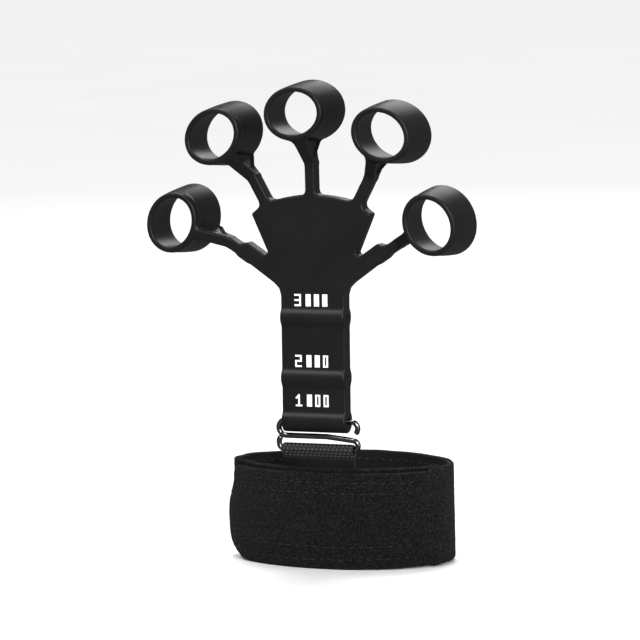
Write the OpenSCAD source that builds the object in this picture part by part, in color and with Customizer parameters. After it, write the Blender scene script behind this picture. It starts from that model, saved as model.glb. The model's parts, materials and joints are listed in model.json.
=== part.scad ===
// Finger exerciser: a soft hand moulding with five finger loops, hooked by a
// bent wire to a webbing loop on a wrap-round wrist band.
// The hand stands in the XZ plane, the palm's front faces -Y, and the band
// rests on the floor at Z = 0. Lengths are in millimetres.

/* [Hand] */
// Thickness of the palm, the stem and the finger straps
plate_t = 5.2; // [4:0.1:7]
// Width of the stem
stem_w = 22; // [18:0.5:26]
// Height of the bottom tunnel's axis above the floor
tunnel_z = 48.1; // [47:0.1:50]
// Height of the middle tunnel above the bottom one
middle_rise = 14.2; // [13:0.1:18]
// Height of the top tunnel above the bottom one
top_rise = 34.2; // [32:0.1:36]
// Outer radius of the round barrel along each tunnel
barrel_r = 3.8; // [3.2:0.1:4.2]
// Radius of the tunnels
bore_r = 0.95; // [0.8:0.05:1.3]
// Width of the finger straps
strap_w = 3.1; // [2:0.1:4]

/* [Finger loops] */
// Length of a finger loop along the finger
loop_len = 18.0; // [12:0.1:24]
// Long outside width of a loop at its narrow front end
loop_long = 19.6; // [17:0.1:21]
// Short outside width of a loop at its narrow front end
loop_short = 16.8; // [15:0.1:18]
// Wall of a loop at its front end
loop_wall = 1.45; // [1:0.05:2]
// Front end's size as a part of the back end's size
loop_taper = 0.865; // [0.8:0.005:1]
// How far the loops' middles stand in front of the palm's middle
loop_forward = 1.3; // [0:0.1:3]
// Length of the fin that joins a strap to its loop
fin_len = 8.4; // [6:0.1:10]

/* [Wire hook] */
// Radius of the hook's wire
wire_r = 0.9; // [0.75:0.05:1.2]
// Space between the wire and the bores that it turns in
running_gap = 0.05; // [0.02:0.01:0.1]
// Outside width of the hook's ring
ring_w = 29.6; // [28:0.1:32]

/* [Webbing] */
// Width of the webbing
webbing_w = 25; // [22:0.5:26]
// Thickness of one layer of the webbing
webbing_t = 1.2; // [0.8:0.1:1.5]
// Height of the hook's lower bar inside the webbing's fold
lower_bar_z = 38.4; // [37.5:0.1:38.6]

/* [Wrist band] */
// Outside width of the closed band
band_w = 78; // [72:1:84]
// Outside depth of the closed band
band_d = 43.6; // [40:0.5:50]
// Height of the band
band_h = 32.9; // [30:0.1:34]
// Thickness of the looped face fabric
face_t = 0.5; // [0.3:0.1:0.8]
// Thickness of the foam core
core_t = 1.3; // [1:0.1:2]
// Thickness of the smooth lining
lining_t = 0.4; // [0.3:0.1:0.6]
// Distance between the flap and the layer under it
layer_gap = 1.2; // [1:0.1:1.5]
// How far the flap's top sits below the band's top
flap_drop = 1.1; // [0:0.1:2]
// Radius of the lower corner at the flap's end
flap_corner_low = 11.5; // [6:0.5:13]
// Radius of the upper corner at the flap's end
flap_corner_high = 6; // [4:0.5:8]

/* [Hidden] */
$fn = 64;
FINGERS = ["thumb", "index", "middle", "ring", "little"];

// The hand's middle, which puts the origin under the middle of the whole object
hand_x = 1.3;
hand_y = -13.2;

// Colours
silicone = [0.05, 0.05, 0.055];
print_white = [0.92, 0.92, 0.92];
steel = [0.22, 0.23, 0.25];
nylon = [0.08, 0.08, 0.085];
pile = [0.09, 0.085, 0.095];
thread = [0.14, 0.14, 0.14];

// Hand outline, in x from the centre line and z from the bottom tunnel
stem_top = 41.5;
shoulder = [13.4, 45.6];
strap_low = [25.6, 54.4];
root_notch = [24.6, 57.3];
root_bump = [22.8, 58.6];
valley = [15.6, 54.3];
ear_tip = [20.6, 68.0];
ear_notch = [17.2, 70.6];
crown_end = [14.6, 71.9];
crown_z = 74.1;
round_r = 0.8;
fillet_r = 1.1;
stub_len = 4;
seam = 0.02;

// The stretch of stem that bends
flex_low = 23.2;
flex_high = top_rise - 3.4;

// Finger straps: foot of each strap, its direction, its length to the fin,
// then the loop's middle seen from the fin's foot
strap_foot = [[-25.4, 56.1], [-16.4, 72.4], [0, 74.4], [16.4, 72.4], [25.4, 56.1]];
strap_angle = [148, 118, 90, 62, 32];
strap_len = [5, 8.6, 10.2, 8.6, 5];
loop_reach = [17.8, 17.3, 16.7, 15.8, 15.1];
loop_lean = [157, 127, 98, 64, 27];

// Webbing and hook
hook_x = -0.2;
upper_bar_z = lower_bar_z + 3.5;
left_bend_r = 2.6;
right_bend_r = 1.75;
tip_bend_r = 2.2;
riser_bend_r = 1.8;
webbing_root_z = band_h + 0.3;
fold_r = wire_r + running_gap + webbing_t;

// Band, as an oval round its own middle; turn counts degrees from +X through +Y
band_x = hand_x + 1.6;
band_y = hand_y + 14.9;
strip_t = face_t + core_t + lining_t;
layer_step = strip_t + layer_gap;
inner_start = 352;
ramp_start = 187;
ramp_end = 156;
flap_start = -24;
flap_end = -172;
joint_gap = 0.4;
skin_lift = 0.6;
oval_steps = 3;

// ---------- Shapes shared by several sub-parts ----------

// Puts a sub-part of the hand in place: outline z counts from the bottom tunnel
module in_hand() {
    translate([hand_x, hand_y, tunnel_z]) children();
}

// Extrudes an XZ outline along Y, centred on the plate's middle
module plate(thickness = plate_t) {
    rotate([90, 0, 0]) linear_extrude(height = thickness, center = true) children();
}

// Cylinder along X, centred
module bar_x(radius, length) {
    rotate([0, 90, 0]) cylinder(r = radius, h = length, center = true);
}

function mirrored(p) = [-p[0], p[1]];

function arc_points(centre, radius, from, to, steps) =
    [for (i = [0 : steps]) let (a = from + (to - from) * i / steps)
        centre + radius * [cos(a), sin(a)]];

// The crown is one shallow arc over the top of the palm
crown_rise = crown_z - crown_end[1];
crown_r = (crown_end[0] * crown_end[0] + crown_rise * crown_rise) / (2 * crown_rise);
crown_half = asin(crown_end[0] / crown_r);

module palm_outline() {
    right = [[stem_w / 2, stem_top], [stem_w / 2 + 0.7, stem_top + 2.4], shoulder,
             strap_low, root_notch, root_bump, valley + [1, 0],
             valley - [0.5, -1], ear_tip, ear_notch];
    crown = arc_points([0, crown_z - crown_r], crown_r, 90 - crown_half, 90 + crown_half, 24);
    count = len(right);
    left = [for (i = [count - 1 : -1 : 0]) mirrored(right[i])];
    polygon(concat(right, crown, left));
}

// A bar along a finger strap, from behind the strap's foot to past it
module along_strap(i, from, to, width) {
    translate(strap_foot[i]) rotate(strap_angle[i])
        translate([from, -width / 2]) square([to - from, width]);
}

// The palm's rounded outline ends square at the feet of the five straps
module palm() {
    color(silicone) in_hand() plate() difference() {
        offset(r = round_r) offset(r = -round_r - fillet_r) offset(r = fillet_r) {
            palm_outline();
            for (i = [0 : 4]) along_strap(i, -stub_len, stub_len, strap_w);
        }
        for (i = [0 : 4]) along_strap(i, 0, 2 * stub_len, 2 * strap_w);
    }
}

// One stretch of the stem's plate, cut round where the barrels lie on it
module stem_part(low, high) {
    color(silicone) in_hand() difference() {
        translate([-stem_w / 2, -plate_t / 2, low]) cube([stem_w, plate_t, high - low]);
        for (rise = [0, middle_rise, top_rise])
            translate([0, 0, rise]) bar_x(barrel_r + seam, stem_w + 2);
    }
}

module tunnel(rise) {
    color(silicone) in_hand() translate([0, 0, rise]) difference() {
        bar_x(barrel_r, stem_w);
        bar_x(bore_r, stem_w + 2);
    }
}

// Strokes of the plain digits, on a grid of 2 by 4
digit_strokes = [
    [[1, 0, 1, 4], [0, 3, 1, 4], [0, 0, 2, 0]],
    [[0, 4, 2, 4], [2, 4, 2, 2], [2, 2, 0, 2], [0, 2, 0, 0], [0, 0, 2, 0]],
    [[0, 4, 2, 4], [2, 4, 2, 0], [0, 2, 2, 2], [0, 0, 2, 0]]];
mark_unit = 0.85;
mark_stroke = 0.58;
mark_t = 0.15;
mark_bar = [1.75, 3.98];

// A digit and a gauge of three boxes, filled up to the level, printed on the stem's front
module level_mark(level, rise) {
    color(print_white) in_hand() translate([0, -plate_t / 2 - mark_t / 2, rise])
        plate(mark_t) {
            for (s = digit_strokes[level - 1]) {
                run = [s[2] - s[0], s[3] - s[1]] * mark_unit;
                translate([s[0] - 7, s[1] - 2] * mark_unit) rotate(atan2(run[1], run[0]))
                    translate([-mark_stroke / 2, -mark_stroke / 2])
                        square([norm(run) + mark_stroke, mark_stroke]);
            }
            for (i = [0 : 2])
                translate([-2.3 + i * 2.9, -mark_bar[1] / 2]) difference() {
                    square(mark_bar);
                    if (i >= level) offset(delta = -mark_stroke) square(mark_bar);
                }
        }
}

// ---------- Fingers ----------

function heading(a) = [cos(a), sin(a)];
function fin_foot(i) = strap_foot[i] + strap_len[i] * heading(strap_angle[i]);
function loop_middle(i) = fin_foot(i) + loop_reach[i] * heading(loop_lean[i]);

// Moves to an outline point of the hand with +X along the given direction
module at_outline(point, angle) {
    in_hand() translate([point[0], 0, point[1]]) rotate([0, -angle, 0]) children();
}

module finger_strap(i) {
    color(silicone) at_outline(strap_foot[i], strap_angle[i])
        translate([seam, -plate_t / 2, -strap_w / 2])
            cube([strap_len[i] - 2 * seam, plate_t, strap_w]);
}

module oval(long, short) {
    polygon([for (a = [0 : 7.5 : 359]) [short / 2 * cos(a), long / 2 * sin(a)]]);
}

// A cone along Y with an oval section, its wide end at the back
module loop_cone(long, short, spare) {
    translate([0, loop_len / 2 - loop_forward + spare, 0]) rotate([90, 0, 0])
        linear_extrude(height = loop_len + 2 * spare, scale = loop_taper)
            oval(long / loop_taper, short / loop_taper);
}

// The fin widens from the strap's depth to nearly the loop's length, and its
// foot is cut square to the strap
module fin(i) {
    back = loop_len / 2 - loop_forward - 0.2;
    front = -loop_len / 2 - loop_forward + 0.6;
    inside = loop_reach[i] - 6;
    foot = -0.5;
    difference() {
        at_outline(fin_foot(i), loop_lean[i]) translate([0, 0, -strap_w / 2])
            linear_extrude(height = strap_w)
                polygon([[foot, -plate_t / 2], [0, -plate_t / 2], [fin_len, front],
                         [inside, front], [inside, back], [fin_len - 1.8, back],
                         [fin_len - 5.2, plate_t / 2], [foot, plate_t / 2]]);
        at_outline(fin_foot(i), strap_angle[i]) translate([-3, -plate_t, -plate_t])
            cube([3, 2 * plate_t, 2 * plate_t]);
    }
}

module finger_loop(i) {
    color(silicone) difference() {
        union() {
            fin(i);
            at_outline(loop_middle(i), loop_lean[i]) loop_cone(loop_long, loop_short, 0);
        }
        at_outline(loop_middle(i), loop_lean[i])
            loop_cone(loop_long - 2 * loop_wall, loop_short - 2 * loop_wall, 0.5);
    }
}

// ---------- Wire hook ----------

// A bend of the wire in the XZ plane, round the given centre
module wire_bend(centre, radius, from, sweep) {
    translate([centre[0], 0, centre[1]]) rotate([90, 0, 0]) rotate([0, 0, from])
        rotate_extrude(angle = sweep) translate([radius, 0]) circle(r = wire_r);
}

// A straight run of the wire between two points of the XZ plane
module wire_run(from, to) {
    run = to - from;
    translate([from[0], 0, from[1]]) rotate([0, 90 - atan2(run[1], run[0]), 0])
        cylinder(r = wire_r, h = norm(run));
}

// A slightly proud ball where two runs meet at an angle
module wire_knuckle(p) {
    translate([p[0], 0, p[1]]) sphere(r = wire_r + seam);
}

// Tip, arm through the bottom tunnel, left bend, upper bar, right bend,
// lower bar inside the webbing and the short riser that ends by the left bend
module wire_hook() {
    half = ring_w / 2 - wire_r;
    left = hook_x - half + left_bend_r;
    right = hook_x + half - right_bend_r;
    tip = hook_x + half - tip_bend_r;
    step_z = tunnel_z - 2 * left_bend_r;
    riser = hook_x - half + riser_bend_r;
    riser_z = lower_bar_z + riser_bend_r;
    color(steel) translate([hand_x, hand_y, 0]) {
        wire_bend([tip, tunnel_z - tip_bend_r], tip_bend_r, -50, 140);
        wire_run([left, tunnel_z], [tip, tunnel_z]);
        wire_bend([left, tunnel_z - left_bend_r], left_bend_r, 90, 180);
        wire_run([left, step_z], [hook_x + 3, step_z]);
        wire_run([hook_x + 3, step_z], [right, upper_bar_z]);
        for (p = [[hook_x + 3, step_z], [right, upper_bar_z], [hook_x - half, riser_z]])
            wire_knuckle(p);
        wire_bend([right, lower_bar_z + right_bend_r], right_bend_r, -90, 180);
        wire_run([riser, lower_bar_z], [right, lower_bar_z]);
        wire_bend([riser, riser_z], riser_bend_r, 180, 90);
        wire_run([hook_x - half, riser_z], [hook_x - half + 0.4, step_z - 0.7]);
    }
}

// ---------- Webbing ----------

module along_x(length) {
    rotate([90, 0, 90]) linear_extrude(height = length, center = true) children();
}

// The free fold of webbing round the hook's lower bar
module webbing_loop() {
    fold_low = webbing_root_z - lower_bar_z;
    color(nylon) translate([hand_x + hook_x, hand_y, lower_bar_z]) difference() {
        union() {
            bar_x(fold_r, webbing_w);
            along_x(webbing_w)
                polygon([[-fold_r, 0], [-webbing_t, fold_low], [webbing_t, fold_low], [fold_r, 0]]);
        }
        bar_x(wire_r + running_gap, webbing_w + 2);
        along_x(webbing_w + 2)
            polygon([[-wire_r * 0.9, 0], [-0.05, fold_low + 1.2],
                     [0.05, fold_low + 1.2], [wire_r * 0.9, 0]]);
    }
}

// ---------- Wrist band ----------

function oval_point(turn, inset) =
    [(band_w / 2 - inset) * cos(turn), (band_d / 2 - inset) * sin(turn)];

// How far the strip lies inside the band's outline at a turn
function strip_inset(turn) =
    turn >= ramp_start ? layer_step :
    turn <= ramp_end ? 0 :
    layer_step * (1 - cos(180 * (turn - ramp_end) / (ramp_start - ramp_end))) / 2;

// Plan of one layer of the strip, between two turns and two depths in the strip
module strip_plan(from, to, outer, inner) {
    count = ceil((from - to) / oval_steps);
    turns = [for (i = [0 : count]) from + (to - from) * i / count];
    polygon(concat(
        [for (t = turns) oval_point(t, strip_inset(t) + outer)],
        [for (i = [count : -1 : 0]) oval_point(turns[i], strip_inset(turns[i]) + inner)]));
}

module band_layer(outer, inner, low) {
    translate([band_x, band_y, low]) linear_extrude(height = band_h - low)
        strip_plan(inner_start, flap_start, outer, inner);
}

// Outline of the flap from the front, with its rounded free end on the left
module flap_front() {
    left = -band_w / 2;
    top = band_h - flap_drop;
    union() {
        translate([left + flap_corner_low, flap_corner_low]) circle(r = flap_corner_low);
        translate([left + flap_corner_high, top - flap_corner_high])
            circle(r = flap_corner_high);
        translate([left, flap_corner_low])
            square([band_w, top - flap_corner_low - flap_corner_high]);
        translate([left + flap_corner_low, 0]) square([band_w, flap_corner_low]);
        translate([left + flap_corner_high, top - flap_corner_high])
            square([band_w, flap_corner_high]);
    }
}

module flap_layer(outer, inner, low) {
    translate([band_x, band_y, 0]) intersection() {
        translate([0, 0, low]) linear_extrude(height = band_h - flap_drop - low)
            strip_plan(flap_start - joint_gap, flap_end, outer, inner);
        rotate([90, 0, 0]) linear_extrude(height = band_d, center = true) flap_front();
    }
}

// The sewn end of the webbing, which follows the inside of the band's front wall
tail_h = 11;
tail_from = 289;
tail_to = 244;
tail_inset = strip_t + seam;
module webbing_tail() {
    color(nylon) translate([band_x, band_y, webbing_root_z - tail_h])
        linear_extrude(height = tail_h - 0.2)
            strip_plan(tail_from, tail_to, tail_inset, tail_inset + 2 * webbing_t);
}

stitch_len = 1.6;
stitch_pitch = 3.1;
stitch_w = 0.4;
stitch_proud = 0.15;
stitch_gap = 0.05;

// Turns of a row of stitches spaced evenly along the oval
function stitch_turns(from, to, inset) = [
    for (turn = from; turn > to;
         turn = turn - stitch_pitch * 57.3 / norm([(band_w / 2 - inset) * sin(turn),
                                                  (band_d / 2 - inset) * cos(turn)]))
        turn];

// One row of stitches standing on a surface of the strip
module stitch_row(from, to, inset, height) {
    for (turn = stitch_turns(from, to, inset)) {
        place = oval_point(turn, inset);
        along = atan2(-(band_d / 2 - inset) * cos(turn), (band_w / 2 - inset) * sin(turn));
        translate([band_x + place[0], band_y + place[1], height]) rotate([0, 0, along])
            cube([stitch_len, 2 * stitch_proud, stitch_w], center = true);
    }
}

module band_face() {
    color(pile) band_layer(0, face_t, skin_lift);
}

module band_core() {
    color(nylon) band_layer(face_t + seam, face_t + core_t, 0);
}

module band_lining() {
    color(nylon) band_layer(face_t + core_t + seam, strip_t, skin_lift);
}

module band_stitching() {
    inside = strip_t + stitch_proud + stitch_gap;
    color(thread) for (height = [band_h - 4, 4])
        stitch_row(ramp_end - 2, 4, inside, height);
}

module flap_face() {
    color(pile) flap_layer(0, face_t, skin_lift);
}

module flap_core() {
    color(nylon) flap_layer(face_t + seam, face_t + core_t, 0);
}

module flap_lining() {
    color(nylon) flap_layer(face_t + core_t + seam, strip_t, skin_lift);
}

module flap_stitching() {
    top = band_h - flap_drop;
    color(thread) for (height = [top - 3, top - 6.6, 7.4, 3.2])
        stitch_row(flap_start - 8, -150, -stitch_proud - stitch_gap, height);
}

patch_t = 0.8;

// The hook patch on the inside of the flap's free end
module hook_patch() {
    color([0.05, 0.05, 0.05]) translate([band_x, band_y, 7])
        linear_extrude(height = band_h - flap_drop - 14)
            strip_plan(-118, -160, strip_t + seam, strip_t + patch_t);
}

module webbing_stitching() {
    inside = layer_step + tail_inset + 2 * webbing_t + stitch_proud + stitch_gap;
    color(thread) for (height = [2.5, 8.5])
        stitch_row(tail_from - 4, tail_to + 4, inside, webbing_root_z - height);
}

// ---------- Drawing ----------

palm();
stem_part(flex_high, stem_top - seam);  // stem_upper
stem_part(flex_low, flex_high - seam);  // stem_flex
stem_part(middle_rise, flex_low - seam);  // stem_middle
stem_part(0, middle_rise);  // stem_lower
tunnel(top_rise);  // tunnel_top
tunnel(middle_rise);  // tunnel_middle
tunnel(0);  // tunnel_bottom
level_mark(3, top_rise + 5.8);  // level_mark_three
level_mark(2, middle_rise + 5.8);  // level_mark_two
level_mark(1, 7.0);  // level_mark_one
for (i = [0 : 4]) {
    finger_strap(i);
    finger_loop(i);
}
wire_hook();
webbing_loop();
webbing_tail();
webbing_stitching();
band_face();
band_core();
band_lining();
band_stitching();
flap_face();
flap_core();
flap_lining();
flap_stitching();
hook_patch();
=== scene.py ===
"""Looks of the finger exerciser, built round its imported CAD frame.

Shapes are worked out in millimetres and turned into metres where a mesh is made.
The silicone is one smooth skin pulled over solid formulas, the wire is swept along
its bends, and the webbing, band and flap are sheets swept along their own paths.
"""

import json
import math

import bmesh
import bpy
import numpy as np
from mathutils import Matrix, Vector

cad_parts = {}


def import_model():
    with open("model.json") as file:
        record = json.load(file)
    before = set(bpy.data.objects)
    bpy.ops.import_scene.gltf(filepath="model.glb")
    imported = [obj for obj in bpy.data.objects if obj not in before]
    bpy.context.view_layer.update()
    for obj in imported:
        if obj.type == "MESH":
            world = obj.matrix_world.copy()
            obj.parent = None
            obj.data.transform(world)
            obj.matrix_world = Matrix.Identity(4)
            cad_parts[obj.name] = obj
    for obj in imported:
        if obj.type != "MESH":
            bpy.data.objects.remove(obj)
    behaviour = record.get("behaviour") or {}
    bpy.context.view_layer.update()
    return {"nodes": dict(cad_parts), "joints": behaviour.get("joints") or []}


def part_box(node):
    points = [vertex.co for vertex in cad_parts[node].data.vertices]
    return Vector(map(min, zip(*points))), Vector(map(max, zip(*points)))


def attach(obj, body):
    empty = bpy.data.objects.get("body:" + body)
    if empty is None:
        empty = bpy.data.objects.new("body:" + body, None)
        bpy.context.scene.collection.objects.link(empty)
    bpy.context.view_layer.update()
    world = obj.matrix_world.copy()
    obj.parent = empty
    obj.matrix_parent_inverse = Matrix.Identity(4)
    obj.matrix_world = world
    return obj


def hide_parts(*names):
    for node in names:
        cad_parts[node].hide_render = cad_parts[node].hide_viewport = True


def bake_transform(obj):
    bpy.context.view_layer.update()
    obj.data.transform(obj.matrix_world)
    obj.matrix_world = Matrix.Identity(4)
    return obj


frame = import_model()

MM = 0.001
FINGERS = ["thumb", "index", "middle", "ring", "little"]
JOINTS = {joint["name"]: joint for joint in frame["joints"]}


# ---------- Sizes read from the frame, in millimetres ----------

def low_high(node):
    low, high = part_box(node)
    return np.array(low) / MM, np.array(high) / MM


def middle_of(node):
    low, high = low_high(node)
    return (low + high) / 2


def size_of(node):
    low, high = low_high(node)
    return high - low


HAND = middle_of("tunnel_bottom")
RISES = [middle_of(f"tunnel_{name}")[2] - HAND[2] for name in ("bottom", "middle", "top")]
BARREL_R = size_of("tunnel_bottom")[2] / 2
STEM_W = size_of("stem_lower")[0]
PLATE_T = size_of("palm")[1]
WEBBING_X, WEBBING_Y = middle_of("webbing_loop")[:2]
WEBBING_W = size_of("webbing_loop")[0]
WEBBING_ROOT = low_high("webbing_loop")[0][2]
FOLD_TOP = low_high("webbing_loop")[1][2]
TAIL_LOW = low_high("webbing_tail")[0][2]
BAND_H = low_high("band_core")[1][2]
FLAP_TOP = low_high("flap_core")[1][2]

# Turns of the strip round the band's oval, in degrees
INNER_START, RAMP_START, RAMP_END, FLAP_START, FLAP_END = 352, 187, 156, -24, -172

# The flap's end and the band's right side give the oval's width, and the flap's
# front and the band's back give its depth
FACE_HIGH, FLAP_FACE_LOW = low_high("band_face")[1], low_high("flap_face")[0]
FLAP_REACH = -math.cos(math.radians(FLAP_END))
BAND_HALF_W = (FACE_HIGH[0] - FLAP_FACE_LOW[0]) / (1 + FLAP_REACH)
BAND_HALF_D = (FACE_HIGH[1] - FLAP_FACE_LOW[1]) / 2
BAND_X = FACE_HIGH[0] - BAND_HALF_W
BAND_Y = FACE_HIGH[1] - BAND_HALF_D

# Details that only the looks need: the silicone's rounded edges, the tunnels' bores,
# how far its soft skin stands out, and the spacing of the grids it is worked out on
RIM_R = 0.5
BORE_R = 0.95
GROWN = 0.15
GRID = 0.3


# ---------- Meshes ----------

def unit(vectors):
    vectors = np.asarray(vectors, float)
    return vectors / np.linalg.norm(vectors, axis=-1, keepdims=True)


def add_piece(name, points, faces, slot, material, sharp_deg=50):
    mesh = bpy.data.meshes.new(name)
    mesh.from_pydata((np.asarray(points, float) * MM).tolist(), [], faces)
    mesh.validate()
    mesh.shade_smooth()
    mesh.set_sharp_from_angle(angle=math.radians(sharp_deg))
    piece = bpy.data.objects.new(name, mesh)
    bpy.context.scene.collection.objects.link(piece)
    mesh.materials.append(material)
    return piece


def facing_out(points, faces):
    """The same faces, turned so that the closed skin faces outwards."""
    volume = 0.0
    points = np.asarray(points, float)
    for face in faces:
        a = points[face[0]]
        for b, c in zip(face[1:-1], face[2:]):
            volume += np.dot(a, np.cross(points[b], points[c]))
    return faces if volume > 0 else [list(reversed(face)) for face in faces]


def swept(rings):
    """Points and faces of a closed skin over rings of points, (rings, points, 3)."""
    rings = np.asarray(rings, float)
    count, around = rings.shape[:2]
    index = np.arange(count * around).reshape(count, around)
    first, second = index[:-1], index[1:]
    quads = np.stack(
        [first, np.roll(first, -1, 1), np.roll(second, -1, 1), second], -1
    ).reshape(-1, 4).tolist()
    quads += [index[0][::-1].tolist(), index[-1].tolist()]
    points = rings.reshape(-1, 3)
    return points, facing_out(points, quads)


def distances(path):
    """How far along a path each of its points is."""
    return np.concatenate([[0], np.cumsum(np.linalg.norm(np.diff(path, axis=0), axis=1))])


def tube(middle, radius, side, up, angles):
    """A thin skin round a line of points, with its radius and cross axes at each."""
    turns = np.radians(angles)[None, :, None]
    side, up = np.broadcast_arrays(side, up)
    side, up = (axis if axis.ndim > 1 else axis[None, :] for axis in (side, up))
    return swept(middle[:, None, :] + radius[:, None, None]
                 * (np.cos(turns) * side[:, None, :] + np.sin(turns) * up[:, None, :]))


def joined(parts):
    """Several skins as one list of points and faces."""
    points, faces, start = [], [], 0
    for part_points, part_faces in parts:
        points.append(np.asarray(part_points))
        faces += [[start + n for n in face] for face in part_faces]
        start += len(part_points)
    return np.concatenate(points), faces


# ---------- Skins over formulas ----------

def blended_union(a, b, soft):
    share = np.clip(0.5 + 0.5 * (b - a) / soft, 0, 1)
    return b * (1 - share) + a * share - soft * share * (1 - share)


def blended_cut(a, b, soft):
    """What is inside a and outside b."""
    return -blended_union(-a, b, soft)


def rounded_both(a, b, radius):
    """Inside a and inside b, with the edge between them rounded."""
    wide_a, wide_b = a + radius, b + radius
    outside = np.hypot(np.maximum(wide_a, 0), np.maximum(wide_b, 0))
    return np.minimum(np.maximum(wide_a, wide_b), 0) + outside - radius


def polygon_distance(x, y, corners):
    """Distance to a polygon, below zero inside it."""
    squared = np.full(np.broadcast(x, y).shape, 1e9)
    inside = np.zeros(squared.shape, bool)
    for (ax, ay), (bx, by) in zip(corners, np.roll(corners, -1, 0)):
        run_x, run_y = bx - ax, by - ay
        along = np.clip(((x - ax) * run_x + (y - ay) * run_y) / (run_x**2 + run_y**2), 0, 1)
        squared = np.minimum(
            squared, (x - ax - along * run_x) ** 2 + (y - ay - along * run_y) ** 2
        )
        crosses = (ay > y) != (by > y)
        if run_y:
            inside ^= crosses & (x < ax + (y - ay) * run_x / run_y)
    return np.where(inside, -1, 1) * np.sqrt(squared)


def softened(values, step, width):
    """A sampled field, averaged over about width along each of its axes."""
    reach = int(3 * width / step)
    weights = np.exp(-0.5 * (np.arange(-reach, reach + 1) * step / width) ** 2)
    weights /= weights.sum()
    for axis in range(values.ndim):
        padded = np.pad(
            values, [(reach, reach) if n == axis else (0, 0) for n in range(values.ndim)],
            mode="edge",
        )
        total = np.zeros_like(values)
        for n, weight in enumerate(weights):
            window = [slice(None)] * values.ndim
            window[axis] = slice(n, n + values.shape[axis])
            total += weight * padded[tuple(window)]
        values = total
    return values


def sampled(grid, places):
    """A sampled field's values at places counted in cells."""
    limit = np.array(grid.shape) - 1.001
    places = np.clip(places, 0, limit)
    base = places.astype(int)
    part = places - base
    total = 0
    for corner in np.ndindex(*[2] * grid.ndim):
        weight = np.prod(np.where(corner, part, 1 - part), axis=-1)
        total = total + weight * grid[tuple(np.moveaxis(base + corner, -1, 0))]
    return total


def skin_of(field, origin, step):
    """Points and quads on the zero surface of a field sampled on a grid."""
    shape, cells = field.shape, tuple(n - 1 for n in field.shape)
    inside = field < 0
    total, count = np.zeros(cells + (3,)), np.zeros(cells)
    crossings = []
    for axis in range(3):
        first, second = [slice(None)] * 3, [slice(None)] * 3
        first[axis], second[axis] = slice(0, -1), slice(1, None)
        start, end = field[tuple(first)], field[tuple(second)]
        crosses = inside[tuple(first)] != inside[tuple(second)]
        share = np.where(crosses, start / np.where(crosses, start - end, 1), 0)
        others = [n for n in range(3) if n != axis]
        for shift in np.ndindex(2, 2):
            window = [slice(None)] * 3
            for other, s in zip(others, shift):
                window[other] = slice(s, shape[other] - 1 + s)
            found = crosses[tuple(window)]
            count += found
            total[..., axis] += found * share[tuple(window)]
            for other, s in zip(others, shift):
                total[..., other] += found * s
        crossings.append(crosses)
    used = count > 0
    number = np.full(cells, -1)
    number[used] = np.arange(used.sum())
    places = np.argwhere(used) + total[used] / count[used][:, None]
    slopes = np.gradient(field)
    for _ in range(2):
        slope = np.stack([sampled(s, places) for s in slopes], 1)
        steepness = np.maximum((slope**2).sum(1), 1e-9)
        move = (sampled(field, places) / steepness)[:, None] * slope
        places = places - np.clip(move, -0.5, 0.5)
    quads = []
    for axis, crosses in enumerate(crossings):
        others = [n for n in range(3) if n != axis]
        at = np.argwhere(crosses)
        for other in others:
            at = at[(at[:, other] >= 1) & (at[:, other] <= shape[other] - 2)]
        corners = []
        for shift in ((1, 1), (0, 1), (0, 0), (1, 0)):
            cell = at.copy()
            for other, s in zip(others, shift):
                cell[:, other] -= s
            corners.append(number[tuple(cell.T)])
        quad = np.stack(corners, 1)
        turned = inside[tuple(at.T)] ^ (axis != 1)
        quad[turned] = quad[turned][:, ::-1]
        quads.append(quad)
    return np.asarray(origin) + places * step, np.concatenate(quads)


def grid_lines(low, high, step):
    return np.arange(low, high + step, step)


def cut_square(points, faces, place, direction, reach):
    """Cuts the skin off flat past a plane, within reach of the plane's place."""
    mesh = bmesh.new()
    verts = [mesh.verts.new(p) for p in points]
    for face in faces:
        mesh.faces.new([verts[n] for n in face])
    place = Vector(place)
    near = [f for f in mesh.faces if (f.calc_center_median() - place).length < reach]
    # Kept in order, without repeats, so that every run numbers the corners alike
    edges = list(dict.fromkeys(e for f in near for e in f.edges))
    corners = list(dict.fromkeys(v for f in near for v in f.verts))
    cut = bmesh.ops.bisect_plane(
        mesh, geom=near + edges + corners, dist=1e-5,
        plane_co=place, plane_no=Vector(direction), clear_outer=True,
    )
    rim = [e for e in cut["geom_cut"] if isinstance(e, bmesh.types.BMEdge) and e.is_boundary]
    bmesh.ops.edgeloop_fill(mesh, edges=rim)
    mesh.verts.index_update()
    points = np.array([v.co[:] for v in mesh.verts])
    faces = [[v.index for v in f.verts] for f in mesh.faces]
    mesh.free()
    return points, faces


# ---------- Material nodes ----------

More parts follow.
